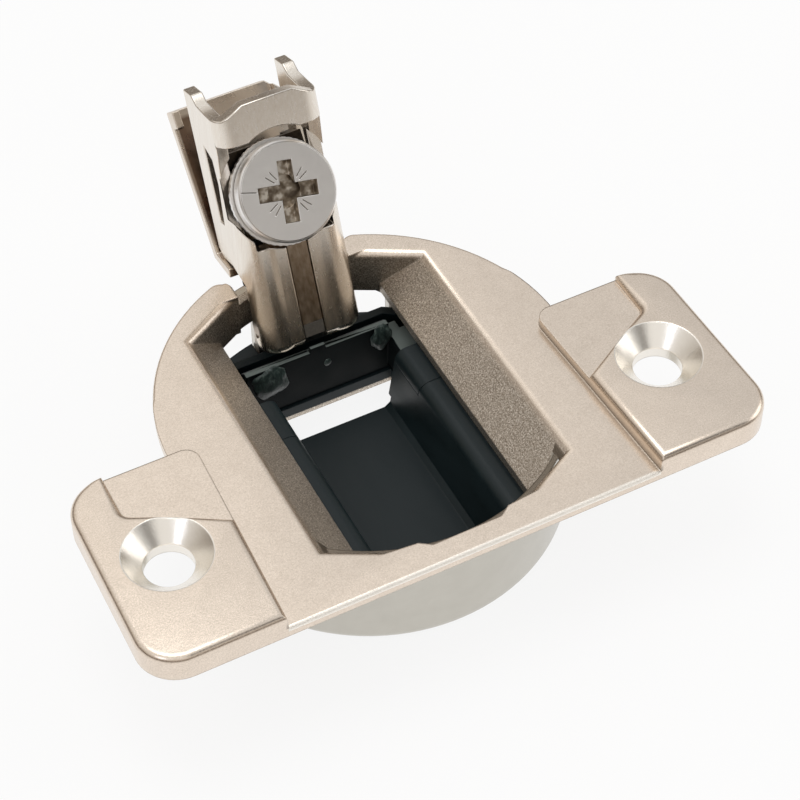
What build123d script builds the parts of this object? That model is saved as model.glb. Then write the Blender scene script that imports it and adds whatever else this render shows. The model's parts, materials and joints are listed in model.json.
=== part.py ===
from build123d import *
from math import cos, sin, radians
import os

# Concealed cup hinge for a face-frame door: a die-cast boss with a 35 mm cup, a plastic
# liner with a spring-loaded slider, and a stamped arm that folds down into the cup.
#
# Frame: millimetres, +Z out of the door's inner face, X along the two screw pads, +Y
# towards the arm. The origin lies on the cup's axis in the plane of the door face, which
# is the underside of the flange. The arm is modelled at its open stop.

# ---------------------------------------------------------------- driving dimensions
FIT = 0.1               # gap round a piece that is pushed into another
RUN = 0.05              # radial running fit of a turning pin
BIG = 60.0              # reach of a cut that goes right through
LAP = 1.0               # reach of a cut or a join into its neighbour
NEAR = 0.01             # for finding an edge by its place

# Boss casting
CUP_R = 17.2            # runs into a 35 mm boring in the door
CUP_DEPTH = 11.75
CUP_WALL = 1.5
CUP_FLOOR = 0.5
CUP_FOOT_R = 1.2        # round on the bottom edge
CUP_SEAM = -90.0        # the round wall's seam lies at the front, clear of the ports
FLANGE_T = 1.0
RIM_R = 18.1
FRONT_Y = -19.4
SCREW_PITCH = 45.0
SCREW_Y = -9.5
SCREW_HOLE_R = 2.1
SINK_R = 3.7            # countersink, 90 degrees
PAD_T = 2.6
PAD_BACK_Y = 0.15
PAD_IN_BACK = 15.9      # inner side of a pad, at its back and front ends
PAD_IN_FRONT = 16.8
PAD_OUT_BACK = 27.85
PAD_OUT_FRONT = 28.3
PAD_CORNER_R = 3.5
PAD_INNER_R = 1.3
PAD_EDGE_R = 0.35
PANEL_T = 1.9           # lower panel in each pad's inner back corner
PANEL_X = 24.05
PANEL_OUT_Y = -4.3
PANEL_IN_Y = -8.9
PANEL_R = 0.9

# Opening in the boss
OPEN_X = 11.5
OPEN_BACK_Y = 11.3
OPEN_FRONT_Y = -13.5
NOSE_X = 5.7            # front facets
NOSE_Y = -16.5
STEP_X = 4.1            # small step beside the bay
STEP_Y = -16.65
BAY_X = 3.1             # shallow bay in the middle of the front edge
BAY_Y = -17.35
THROAT_X = 7.8          # where the sloped shoulders end
THROAT_TOP_Z = -2.7
THROAT_Z = -3.6         # underside of the shoulders
NOTCH_X = 5.35          # gap in the rim for the arm
NOTCH_Y = 12.4
HORN_R = 1.2            # rounded ends of the rim beside the gap
NOTCH_Z = -0.5
HORN_Y = 14.4
HORN_X = 5.8
PORT_IN_X = 3.4         # two ports through the cup's back wall
PORT_OUT_X = 9.0
PORT_LOW_Z = -8.2
PORT_R = 2.6            # upper outer corner
SILL_T = 0.5            # sills of the liner that snap into the ports
LUG_HALF_W = 0.85       # lug between the arm's columns, with the pivot's eye
LUG_R = 1.5
LUG_TOP_Z = -0.9
LUG_LOW_Z = -2.6
EDGE_R = 0.7            # rounding along the opening
SLOT_BACK_Y = 9.75      # slot through the cup's floor
SLOT_FRONT_Y = 5.95
SLOT_X = 7.0
SLOT_R = 2.2            # front corners of the slot

# Arm, in its own frame: u along the arm from its foot, b from its front face backwards
LEAN = 20.0             # from upright, at the open stop
FOOT_Y = 9.9
FOOT_Z = -2.9
ARM_HALF_W = 4.8
SHEET = 1.1
ARM_DEPTH = 7.15
ARM_TOP = 23.4
BEND_R = 1.7
WALL_LOW = 6.4          # the walls' lower edge rises towards the back
WALL_BEND_B = 4.2
WALL_BEND_U = 7.45
HEEL_B = 6.3            # chamfered lower back corner of the walls
HEEL_U = 8.2
HOOK_B = 5.3            # the walls end in two hooks
HOOK_NOSE_B = 4.5
HOOK_NOSE_U = 22.7
SADDLE_U = 22.5
SADDLE_B = 2.9
SHOULDER_U = 22.4
SHOULDER_B = 1.7
SHOULDER_FLAT = 0.5
STRAP_LOW = 19.9
STRAP_FLAT_X = 2.3
STRAP_STEP_X = 4.2
STRAP_ARCH = 0.65
STRAP_ARCH_X = 2.4
WINDOW_R = 5.2
WINDOW_U = 14.65
WINDOW_LOW_B = 2.55     # how far the window cuts back into the walls
WINDOW_TOP_B = 1.5
COLUMN_X = 2.88         # two columns rolled from the walls
COLUMN_R = 1.88
COLUMN_BORE_R = 0.8
COLUMN_SOLID_U = 4.6
COLUMN_TOP_U = 10.1
COLUMN_FOOT_U = -0.35
COLUMN_FOOT_R = 0.9
FLAT_X = 1.0            # flat strip of each column beside the tongue
FLAT_B = 0.12
FLAT_FOOT = 0.7         # chamfer at the strip's foot
WEDGE_LOW_U = 11.6      # narrow window in each wall
WEDGE_TOP_U = 18.9
WEDGE_BACK_B = 4.9
WEDGE_LOW_B = 4.0
WEDGE_MID_U = 15.6
WEDGE_MID_B = 3.2
WEDGE_HIGH_U = 18.05
WEDGE_HIGH_B = 3.4
PIVOT_U = 2.0
PIVOT_B = 2.2
PIN_R = 0.8
PIN_HALF_L = 4.6

# Link in the middle of the arm, with the shoe that presses on the slider
TONGUE_HALF_W = 0.92
TONGUE_B = 0.25
TONGUE_T = 0.4          # beside the eye
TONGUE_BACK_B = 3.6
TONGUE_KNEE_U = 4.2
TONGUE_TOP_U = 11.4
SHOE_LOW_U = 0.45
SHOE_U = 1.7
WEB_S = 2.85            # web that carries the cam, behind the cam's face
WEB_T = 1.0
WEB_HALF_W = 3.6
WEB_LOW_E = -2.8
WEB_TOP_E = 4.4
CHEEK_T = 0.9
CHEEK_S = 6.1

# Adjusting cam, in its own frame: s from its face backwards, e up the clamp plate
CAM_TILT = 20.0         # of the cam's axis against the arm
CAM_U = 14.8
CAM_B = -0.53
HEAD_R = 4.37
HEAD_T = 1.45
HEAD_BEVEL = 0.2
NECK_R = 4.15
NECK_T = 0.25
BASE_R = 4.6
BASE_T = 0.5
SHANK_R = 2.1
ECCENTRIC = 0.6
ECCENTRIC_R = 1.4
TAIL_R = 0.8
CROSS_REACH = 2.65
CROSS_W = 1.3
CROSS_DEPTH = 1.2
CROSS_PIT_R = 1.75
CROSS_PIT = 1.9
CROSS_TURN = 9.7
WASHER_R = 3.3
WASHER_GAP = 0.06
PLATE_S = 9.9           # clamp plate
PLATE_T = 0.9
PLATE_HALF_W = 5.1
PLATE_TOP = 8.85
PLATE_LOW = -4.1
PLATE_CORNER = 1.1
PLATE_LUG_T = 0.9       # small raised lugs at the plate's top corners
PLATE_LUG_W = 0.7
PLATE_LUG_LOW = 7.3
LIP_BEND_E = -4.6       # the plate's lower end is bent forwards below the walls
LIP_S = 8.0
LIP_LOW = -6.3
LIP_RISE = 0.8
CAM_GAP = 0.16          # of the eccentric in the clamp plate
RING_R = 2.6
RING_T = 0.7
RING_GAP = 0.12

# Plastic liner, slider and springs
RAIL_Z = -3.95
RAIL_X = 5.9
RAIL_R = 1.1
RAIL_BACK_Y = 6.4
COVER_FRONT_Y = 1.9
COVER_LOW_Z = -5.2
FLOOR_Z = -10.2
FLOOR_X = 4.45
RIDGE_X = 5.0
RIDGE_Z = -9.75
TROUGH_FRONT_Y = -14.0
TROUGH_R = 2.4
CHAMBER_X = 9.75
CHAMBER_R = 14.8
DAM_Y = 12.6            # straight wall behind the slider
DAM_T = 0.8
DAM_Z = -5.9
SLIDER_Y = 9.95
SLIDER_T = 1.2
SLIDER_X = 7.0
SLIDER_LOW_X = 8.2      # half width of the slider below its top corners
SLIDER_TOP_Z = -4.35
SLIDER_LOW_Z = -10.0
TAB_X = 0.75
TAB_T = 0.4
TAB_Z = -3.85
SLIDER_BEVEL = 0.6
WING_IN_X = 6.9
WING_OUT_X = 9.3
WING_FRONT_Y = 7.0
WING_BACK_Y = 10.2
WING_TOP_Z = -5.6
WING_LOW_Z = -9.6
SPRING_X = 8.0
SPRING_Z = -7.1
SPRING_R = 1.2
WIRE_R = 0.28
WIRE_SIDES = 4
SPRING_TURNS = 8
SPRING_FRONT_Y = -9.6
CHANNEL_R = 1.65
GUIDE_R = 0.6
GUIDE_FRONT_Y = -11.6
GUIDE_BACK_Y = 9.2

# ---------------------------------------------------------------- derived places
SCREW_X = SCREW_PITCH / 2
BORE_R = CUP_R - CUP_WALL
BORE_Z = CUP_FLOOR - CUP_DEPTH
WALL_IN_X = ARM_HALF_W - SHEET
ARM_FRAME = Pos(0, FOOT_Y, FOOT_Z) * Rot(-LEAN, 0, 0)
CAM_FRAME = ARM_FRAME * Pos(0, CAM_B, CAM_U) * Rot(-CAM_TILT, 0, 0)
PIVOT_Y = FOOT_Y + PIVOT_U * sin(radians(LEAN)) + PIVOT_B * cos(radians(LEAN))
PIVOT_Z = FOOT_Z + PIVOT_U * cos(radians(LEAN)) - PIVOT_B * sin(radians(LEAN))
HEAD_BACK_S = HEAD_T + NECK_T + BASE_T


def put(name, shape):
    os.makedirs("parts", exist_ok=True)
    export_step(shape, f"parts/{name}.step")


def block(x0, x1, y0, y1, z0, z1):
    size = (x1 - x0, y1 - y0, z1 - z0)
    return Pos((x0 + x1) / 2, (y0 + y1) / 2, (z0 + z1) / 2) * Box(*size)


def prism(points, z0, z1):
    """Polygon in plan, raised from z0 to z1."""
    return Pos(0, 0, z0) * extrude(Polygon(*points, align=None), z1 - z0, dir=(0, 0, 1))


def side(points, x0, x1):
    """Polygon of (y, z) points, reaching from x0 to x1."""
    face = Plane.YZ * Polygon(*points, align=None)
    return Pos(x0, 0, 0) * extrude(face, x1 - x0, dir=(1, 0, 0))


def upright(x, y, r, z0, z1):
    return Pos(x, y, (z0 + z1) / 2) * Cylinder(r, z1 - z0)


def across(y, z, r, x0, x1):
    return Pos((x0 + x1) / 2, y, z) * Rot(0, 90, 0) * Cylinder(r, x1 - x0)


def lengthwise(x, z, r, y0, y1):
    return Pos(x, (y0 + y1) / 2, z) * Rot(90, 0, 0) * Cylinder(r, y1 - y0)


def both(part):
    return part + mirror(part, Plane.YZ)


def twin(points):
    """A right-hand outline from back to front, closed through its mirror image."""
    return points + [(-x, y) for x, y in reversed(points)]


# ---------------------------------------------------------------- boss casting
def opening():
    """Outline of the opening in the flange."""
    return twin([(HORN_X, HORN_Y), (OPEN_X, OPEN_BACK_Y), (OPEN_X, OPEN_FRONT_Y), (NOSE_X, NOSE_Y),
                 (STEP_X, STEP_Y), (BAY_X, BAY_Y)])


def pad():
    """Right screw pad, with its lower back corner panel and its countersunk hole."""
    outline = [(PAD_IN_BACK, PAD_BACK_Y), (PAD_OUT_BACK, PAD_BACK_Y),
               (PAD_OUT_FRONT, FRONT_Y), (PAD_IN_FRONT, FRONT_Y)]
    body = prism(outline, 0, PAD_T)
    outer = body.edges().filter_by(Axis.Z).sort_by(Axis.X)[-2:]
    body = fillet(outer, PAD_CORNER_R)
    inner = body.edges().filter_by(Axis.Z).sort_by_distance((PAD_IN_BACK, PAD_BACK_Y, PAD_T / 2))[0]
    body = fillet(inner, PAD_INNER_R)
    panel = [(0, BIG), (PANEL_X, BIG), (PANEL_X, PANEL_OUT_Y), (PAD_IN_BACK, PANEL_IN_Y), (0, PANEL_IN_Y)]
    cut = prism(panel, PANEL_T, BIG)
    corner = cut.edges().filter_by(Axis.Z).sort_by_distance((PANEL_X, PANEL_OUT_Y, BIG / 2))[0]
    body -= fillet(corner, PANEL_R)
    top = body.faces().filter_by(Axis.Z).sort_by(Axis.Z)[-1]
    body = fillet(top.edges(), PAD_EDGE_R)
    sink_depth = SINK_R - SCREW_HOLE_R
    body -= Pos(SCREW_X, SCREW_Y, PAD_T - sink_depth / 2) * Cone(SCREW_HOLE_R, SINK_R, sink_depth)
    return body


def throat():
    """The room above the shoulders: sloped at the sides, upright at both ends."""
    right = [(THROAT_X, -BIG), (THROAT_X, THROAT_TOP_Z), (OPEN_X, FLANGE_T), (OPEN_X, BIG)]
    section = Plane.XZ * Polygon(*twin(right), align=None)
    room = extrude(section, BIG, both=True) & prism(opening(), THROAT_Z - FIT, BIG)
    return room - (block(-BIG, BIG, -BIG, BIG, -BIG, 0) - upright(0, 0, BORE_R + LAP, -BIG, LAP))


def flange():
    body = block(-PAD_IN_FRONT - LAP, PAD_IN_FRONT + LAP, FRONT_Y, PAD_BACK_Y, 0, FLANGE_T)
    body += upright(0, 0, RIM_R, 0, FLANGE_T)
    body -= block(-NOTCH_X, NOTCH_X, NOTCH_Y, BIG, 0, FLANGE_T)
    tips = body.edges().filter_by(Axis.Z).group_by(Axis.Y)[-1]
    return fillet(tips, HORN_R)


def round_opening(body):
    """Rounds the upper edges of the opening."""
    edges = body.edges().filter_by_position(Axis.Z, FLANGE_T - NEAR, FLANGE_T + NEAR)
    back = [edge for edge in edges if on_line(edge, (HORN_X, HORN_Y), (OPEN_X, OPEN_BACK_Y))]
    front = [edge for edge in edges if on_line(edge, (OPEN_X, OPEN_FRONT_Y), (NOSE_X, NOSE_Y))]
    shoulders = [edge for edge in edges if on_line(edge, (OPEN_X, OPEN_BACK_Y), (OPEN_X, OPEN_FRONT_Y))]
    return fillet(shoulders + back + front, EDGE_R)


def on_line(edge, start, end):
    """Whether an edge lies on a side of the opening, on either hand."""
    x, y = abs(edge.center().X), edge.center().Y
    cross = (end[0] - start[0]) * (y - start[1]) - (end[1] - start[1]) * (x - start[0])
    return abs(cross) < NEAR and min(start[1], end[1]) < y < max(start[1], end[1])


def cup_housing():
    cup = Pos(0, 0, -CUP_DEPTH / 2) * Rot(0, 0, CUP_SEAM) * Cylinder(CUP_R, CUP_DEPTH)
    cup = fillet(cup.faces().sort_by(Axis.Z)[0].edges(), CUP_FOOT_R)
    body = round_opening(flange() + cup - throat())
    body += both(pad())
    body -= upright(0, 0, BORE_R, BORE_Z, THROAT_Z)
    body -= block(-NOTCH_X, NOTCH_X, NOTCH_Y, BIG, NOTCH_Z, BIG)
    body -= block(-NOTCH_X, NOTCH_X, 0, BIG, THROAT_Z, 0) & upright(0, 0, BORE_R, -BIG, BIG)
    body -= both(port())
    body -= slot()
    body += lug()
    body -= across(PIVOT_Y, PIVOT_Z, PIN_R, -PIN_HALF_L, PIN_HALF_L)
    body -= both(upright(SCREW_X, SCREW_Y, SCREW_HOLE_R, -BIG, BIG))
    return body


def port():
    """Window through the back wall, with a well rounded upper outer corner."""
    body = block(PORT_IN_X, PORT_OUT_X, OPEN_BACK_Y, BIG, PORT_LOW_Z - SILL_T, THROAT_Z)
    corner = body.edges().filter_by(Axis.Y).sort_by_distance((PORT_OUT_X, BIG / 2, THROAT_Z))[0]
    return fillet(corner, PORT_R)


def lug():
    bar = block(-LUG_HALF_W, LUG_HALF_W, PIVOT_Y, BORE_R + LAP, LUG_LOW_Z, LUG_TOP_Z)
    return bar + across(PIVOT_Y, PIVOT_Z, LUG_R, -LUG_HALF_W, LUG_HALF_W)


def slot():
    """Slot through the floors of casting and liner."""
    cut = block(-SLOT_X, SLOT_X, SLOT_FRONT_Y, SLOT_BACK_Y, -BIG, FLOOR_Z + LAP)
    return fillet(cut.edges().filter_by(Axis.Z).sort_by(Axis.Y)[:2], SLOT_R)


# ---------------------------------------------------------------- plastic liner
def trough():
    """Room between the rails, with slanted sides and a chamfer along the floor."""
    right = [(RAIL_X, 0), (RAIL_X, RAIL_Z), (RIDGE_X, RIDGE_Z), (FLOOR_X, FLOOR_Z)]
    section = Plane.XZ * Polygon(*twin(right), align=None)
    cut = extrude(section, RAIL_BACK_Y + LAP - TROUGH_FRONT_Y, dir=(0, -1, 0))
    cut = Pos(0, RAIL_BACK_Y + LAP, 0) * cut
    front = cut.edges().filter_by(Axis.X).sort_by(Axis.Y)[:2].sort_by(Axis.Z)[0]
    return fillet(front, TROUGH_R)


def liner_blank():
    body = upright(0, 0, BORE_R - FIT, BORE_Z, THROAT_Z)
    body -= block(-THROAT_X - FIT, THROAT_X + FIT, -BIG, BIG, RAIL_Z, 0)
    body -= trough()
    chamber = block(-CHAMBER_X, CHAMBER_X, RAIL_BACK_Y, BIG, FLOOR_Z, 0)
    body -= chamber & upright(0, 0, CHAMBER_R, FLOOR_Z, 0)
    rounding = body.edges().filter_by(Axis.Y).filter_by_position(Axis.Z, RAIL_Z - NEAR, RAIL_Z + NEAR)
    inner = [edge for edge in rounding if abs(abs(edge.center().X) - RAIL_X) < NEAR]
    body = fillet(inner, RAIL_R)
    dam = block(-CHAMBER_X, CHAMBER_X, DAM_Y, BIG, FLOOR_Z - FIT, DAM_Z)
    body += dam & upright(0, 0, CHAMBER_R + FIT, -BIG, BIG)
    body -= block(-BIG, BIG, DAM_Y + DAM_T, BIG, PORT_LOW_Z, 0)
    body -= block(-PORT_OUT_X, PORT_OUT_X, RAIL_BACK_Y + 2 * LAP, BIG, DAM_Z, 0)
    body -= slot()
    body += both(sill())
    body -= both(lengthwise(SPRING_X, SPRING_Z, CHANNEL_R, SPRING_FRONT_Y, RAIL_BACK_Y + LAP))
    body -= both(lengthwise(SPRING_X, SPRING_Z, GUIDE_R, GUIDE_FRONT_Y, SPRING_FRONT_Y + LAP))
    return body


def sill():
    """Lower edge of a port, which snaps the liner into the casting."""
    bar = block(PORT_IN_X + FIT, PORT_OUT_X - FIT, DAM_Y, BIG, PORT_LOW_Z - SILL_T + FIT, PORT_LOW_Z)
    return bar & (upright(0, 0, CUP_R - FIT, -BIG, 0) - upright(0, 0, CHAMBER_R, -BIG, 0))


def cover_room(gap):
    return block(RIDGE_X, BIG, COVER_FRONT_Y - gap, BIG, COVER_LOW_Z - gap, 0)


def liner():
    return liner_blank() - both(cover_room(FIT / 2))


def spring_cover(flank):
    room = cover_room(0)
    if flank < 0:
        room = mirror(room, Plane.YZ)
    return liner_blank() & room & block(-BIG, BIG, -BIG, RAIL_BACK_Y, -BIG, 0)


def slider():
    body = block(-SLIDER_X, SLIDER_X, SLIDER_Y, SLIDER_Y + SLIDER_T, SLIDER_LOW_Z, SLIDER_TOP_Z)
    body += block(-TAB_X, TAB_X, SLIDER_Y, SLIDER_Y + TAB_T, SLIDER_TOP_Z - SLIDER_BEVEL, TAB_Z)
    body += block(-SLIDER_LOW_X, SLIDER_LOW_X, SLIDER_Y, SLIDER_Y + SLIDER_T, WING_LOW_Z, WING_TOP_Z)
    wing = block(WING_IN_X, WING_OUT_X, WING_FRONT_Y, WING_BACK_Y, WING_LOW_Z, WING_TOP_Z)
    body += both(wing)
    body -= both(lengthwise(SPRING_X, SPRING_Z, GUIDE_R + FIT, -BIG, BIG))
    back = body.edges().filter_by(Axis.X).group_by(Axis.Y)[-1].sort_by(Axis.Z)[-1]
    return chamfer(back, SLIDER_BEVEL)


def spring_guide(flank):
    return lengthwise(flank * SPRING_X, SPRING_Z, GUIDE_R, GUIDE_FRONT_Y, GUIDE_BACK_Y)


def closing_spring(flank):
    front = SPRING_FRONT_Y + WIRE_R
    length = WING_FRONT_Y - WIRE_R - front
    path = Helix(length / SPRING_TURNS, length, SPRING_R)
    start = Plane(path @ 0, z_dir=path % 0)
    coil = sweep(start * RegularPolygon(WIRE_R, WIRE_SIDES), path=path, is_frenet=True)
    return Pos(flank * SPRING_X, front, SPRING_Z) * Rot(-90, 0, 0) * coil


# ---------------------------------------------------------------- arm
def column_blank():
    """A round column with a rounded foot, and the flat strip between it and the tongue."""
    tube = upright(COLUMN_X, COLUMN_R, COLUMN_R, COLUMN_FOOT_U, COLUMN_TOP_U)
    tube = fillet(tube.faces().sort_by(Axis.Z)[0].edges(), COLUMN_FOOT_R)
    flat = block(FLAT_X, COLUMN_X, FLAT_B, COLUMN_R, COLUMN_FOOT_U, COLUMN_TOP_U)
    foot = flat.edges().filter_by(Axis.X).sort_by_distance((FLAT_X, FLAT_B, COLUMN_FOOT_U))[0]
    return tube + chamfer(foot, FLAT_FOOT)


def column():
    return column_blank() - upright(COLUMN_X, COLUMN_R, COLUMN_BORE_R, COLUMN_SOLID_U, BIG)


def arm():
    shell = block(-ARM_HALF_W, ARM_HALF_W, 0, ARM_DEPTH, WALL_LOW, ARM_TOP)
    shell = fillet(shell.edges().filter_by(Axis.Z).sort_by(Axis.Y)[:2], BEND_R)
    room = block(-WALL_IN_X, WALL_IN_X, SHEET, BIG, -BIG, BIG)
    room = fillet(room.edges().filter_by(Axis.Z).sort_by(Axis.Y)[:2], BEND_R - SHEET)
    shell -= room
    wall = [(COLUMN_R, WALL_LOW), (WALL_BEND_B, WALL_BEND_U), (HEEL_B, WALL_BEND_U),
            (ARM_DEPTH, HEEL_U), (ARM_DEPTH, ARM_TOP), (HOOK_B, ARM_TOP), (HOOK_NOSE_B, HOOK_NOSE_U),
            (SADDLE_B, SADDLE_U), (SHOULDER_B, SHOULDER_U), (SHOULDER_B - SHOULDER_FLAT, SHOULDER_U),
            (SHEET, ARM_TOP), (-BIG, ARM_TOP), (-BIG, WALL_LOW)]
    shell &= side(wall, -BIG, BIG)
    corner = [(STRAP_FLAT_X, ARM_TOP), (STRAP_STEP_X, SHOULDER_U), (BIG, SHOULDER_U), (BIG, BIG),
              (STRAP_FLAT_X, BIG)]
    trim = Plane.XZ * Polygon(*corner, align=None)
    shell -= both(Pos(0, SHOULDER_B, 0) * extrude(trim, BIG, dir=(0, -1, 0)))
    shell += both(column())
    # the window in front: round at the bottom, arched into the strap at the top
    front = [(-BIG, WINDOW_U), (WINDOW_LOW_B, WINDOW_U), (WINDOW_TOP_B, STRAP_LOW), (-BIG, STRAP_LOW)]
    shell -= side(front, -BIG, BIG)
    shell -= block(-WALL_IN_X, WALL_IN_X, -BIG, BEND_R, 0, STRAP_LOW) - both(column_blank())
    shell -= lengthwise(0, WINDOW_U, WINDOW_R, -BIG, WINDOW_LOW_B)
    arch_r = (STRAP_ARCH_X ** 2 + STRAP_ARCH ** 2) / (2 * STRAP_ARCH)
    arch = lengthwise(0, STRAP_LOW + STRAP_ARCH - arch_r, arch_r, -BIG, BEND_R)
    shell -= arch & block(-BIG, BIG, -BIG, BIG, STRAP_LOW - STRAP_ARCH, BIG)
    wedge = [(WEDGE_BACK_B, WEDGE_LOW_U), (WEDGE_BACK_B, WEDGE_TOP_U), (WEDGE_HIGH_B, WEDGE_HIGH_U),
             (WEDGE_MID_B, WEDGE_MID_U), (WEDGE_LOW_B, WEDGE_LOW_U)]
    shell -= side(wedge, -BIG, BIG)
    body = ARM_FRAME * shell
    body -= CAM_FRAME * lengthwise(0, 0, BASE_R + FIT, -BIG, HEAD_BACK_S + FIT)
    body -= across(PIVOT_Y, PIVOT_Z, PIN_R + RUN, -BIG, BIG)
    return body


def inner_link():
    tongue = block(-TONGUE_HALF_W, TONGUE_HALF_W, TONGUE_B, TONGUE_B + TONGUE_T, SHOE_U, TONGUE_TOP_U)
    tongue += block(-TONGUE_HALF_W, TONGUE_HALF_W, TONGUE_B, TONGUE_BACK_B, TONGUE_KNEE_U, TONGUE_TOP_U)
    web = block(-WEB_HALF_W, WEB_HALF_W, WEB_S, WEB_S + WEB_T, WEB_LOW_E, WEB_TOP_E)
    cheek = block(WEB_HALF_W - CHEEK_T, WEB_HALF_W, WEB_S, CHEEK_S, WEB_LOW_E, WEB_TOP_E)
    body = ARM_FRAME * tongue + CAM_FRAME * (web + both(cheek))
    body -= CAM_FRAME * lengthwise(0, 0, BASE_R + FIT, -BIG, WEB_S)
    return body - CAM_FRAME * lengthwise(0, 0, SHANK_R + RUN, -BIG, BIG)


def link_shoe():
    low = block(-TONGUE_HALF_W, TONGUE_HALF_W, TONGUE_B, TONGUE_B + TONGUE_T, SHOE_LOW_U, SHOE_U)
    return ARM_FRAME * low


def pivot_pin():
    return across(PIVOT_Y, PIVOT_Z, PIN_R, -PIN_HALF_L, PIN_HALF_L)


# ---------------------------------------------------------------- adjusting cam
def cross():
    bar = block(-CROSS_REACH, CROSS_REACH, 0, CROSS_DEPTH, -CROSS_W / 2, CROSS_W / 2)
    cut = bar + Rot(0, 90, 0) * bar
    pit = Pos(0, CROSS_PIT / 2, 0) * Rot(90, 0, 0) * Cone(CROSS_PIT_R, CROSS_PIT_R / 2, CROSS_PIT)
    return Rot(0, CROSS_TURN, 0) * (cut + pit)


def cam_screw():
    head = lengthwise(0, 0, HEAD_R, 0, HEAD_T)
    head = chamfer(head.faces().sort_by(Axis.Y)[0].edges(), HEAD_BEVEL)
    body = head + lengthwise(0, 0, NECK_R, HEAD_T / 2, HEAD_T + NECK_T)
    body += lengthwise(0, 0, BASE_R, HEAD_T + NECK_T, HEAD_BACK_S)
    body += lengthwise(0, 0, SHANK_R, HEAD_BACK_S, PLATE_S - RING_GAP)
    plate_back = PLATE_S + PLATE_T + RING_GAP
    body += lengthwise(0, ECCENTRIC, ECCENTRIC_R, PLATE_S - 2 * RING_GAP, plate_back)
    body += lengthwise(0, ECCENTRIC, TAIL_R, PLATE_S, plate_back + RING_T)
    return CAM_FRAME * (body - cross())


def cam_washer():
    ring = lengthwise(0, 0, WASHER_R, HEAD_BACK_S + WASHER_GAP, WEB_S - WASHER_GAP)
    return CAM_FRAME * (ring - lengthwise(0, 0, SHANK_R, -BIG, BIG))


def cam_ring():
    start = PLATE_S + PLATE_T + RING_GAP
    ring = lengthwise(0, ECCENTRIC, RING_R, start, start + RING_T)
    return CAM_FRAME * (ring - lengthwise(0, ECCENTRIC, TAIL_R, -BIG, BIG))


def clamp_plate():
    back = PLATE_S + PLATE_T
    plate = block(-PLATE_HALF_W, PLATE_HALF_W, PLATE_S, back, PLATE_LOW, PLATE_TOP)
    plate += both(block(PLATE_HALF_W - PLATE_LUG_W, PLATE_HALF_W, PLATE_S - PLATE_LUG_T, PLATE_S,
                        PLATE_LUG_LOW, PLATE_TOP))
    corner = [(PLATE_HALF_W - PLATE_CORNER, PLATE_TOP), (PLATE_HALF_W, PLATE_TOP - PLATE_CORNER),
              (BIG, PLATE_TOP - PLATE_CORNER), (BIG, BIG), (PLATE_HALF_W - PLATE_CORNER, BIG)]
    plate -= extrude(Plane.XZ * Polygon(*corner, align=None), BIG, both=True)
    lip = [(PLATE_S, PLATE_LOW), (back, PLATE_LOW), (back, LIP_BEND_E), (LIP_S, LIP_LOW),
           (LIP_S - PLATE_T / 2, LIP_LOW + LIP_RISE)]
    plate += side(lip, -PLATE_HALF_W, PLATE_HALF_W)
    room = ECCENTRIC_R + CAM_GAP
    way = block(-room, room, -BIG, BIG, -ECCENTRIC, ECCENTRIC)
    way += lengthwise(0, ECCENTRIC, room, -BIG, BIG) + lengthwise(0, -ECCENTRIC, room, -BIG, BIG)
    return CAM_FRAME * (plate - way)


put("cup_housing", cup_housing())
put("liner", liner())
put("slider", slider())
put("pivot_pin", pivot_pin())
for name, flank in (("left", -1), ("right", 1)):
    put(f"spring_cover_{name}", spring_cover(flank))
    put(f"spring_guide_{name}", spring_guide(flank))
    put(f"closing_spring_{name}", closing_spring(flank))
put("arm", arm())
put("inner_link", inner_link())
put("link_shoe", link_shoe())
put("cam_screw", cam_screw())
put("cam_washer", cam_washer())
put("cam_ring", cam_ring())
put("clamp_plate", clamp_plate())
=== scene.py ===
import bmesh
import bpy
import json
import math
from mathutils import Matrix, Vector, noise


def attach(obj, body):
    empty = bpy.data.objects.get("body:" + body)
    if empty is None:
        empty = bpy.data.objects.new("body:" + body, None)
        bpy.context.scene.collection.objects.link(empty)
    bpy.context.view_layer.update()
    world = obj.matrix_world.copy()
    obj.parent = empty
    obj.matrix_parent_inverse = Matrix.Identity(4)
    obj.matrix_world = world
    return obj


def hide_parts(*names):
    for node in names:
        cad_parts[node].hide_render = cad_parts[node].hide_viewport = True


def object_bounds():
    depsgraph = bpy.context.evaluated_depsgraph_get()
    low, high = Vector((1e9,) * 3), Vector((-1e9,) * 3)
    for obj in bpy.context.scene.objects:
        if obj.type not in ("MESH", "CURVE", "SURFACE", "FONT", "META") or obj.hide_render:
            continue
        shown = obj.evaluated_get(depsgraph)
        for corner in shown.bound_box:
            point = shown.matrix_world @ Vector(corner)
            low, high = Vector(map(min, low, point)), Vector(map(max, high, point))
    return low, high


# Dressing for a concealed cup hinge: a nickel-plated zinc boss with a black liner, and a
# plated steel arm whose side play is set with a cam screw. Metres, in the frame of the CAD.
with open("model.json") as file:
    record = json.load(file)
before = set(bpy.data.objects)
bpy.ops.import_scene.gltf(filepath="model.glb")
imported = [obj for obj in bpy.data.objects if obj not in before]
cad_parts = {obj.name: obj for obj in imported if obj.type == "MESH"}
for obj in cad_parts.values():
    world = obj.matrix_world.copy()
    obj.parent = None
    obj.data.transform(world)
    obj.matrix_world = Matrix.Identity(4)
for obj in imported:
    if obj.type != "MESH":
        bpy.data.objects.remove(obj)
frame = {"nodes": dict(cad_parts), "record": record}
nodes = frame["nodes"]
cad_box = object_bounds()

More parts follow.
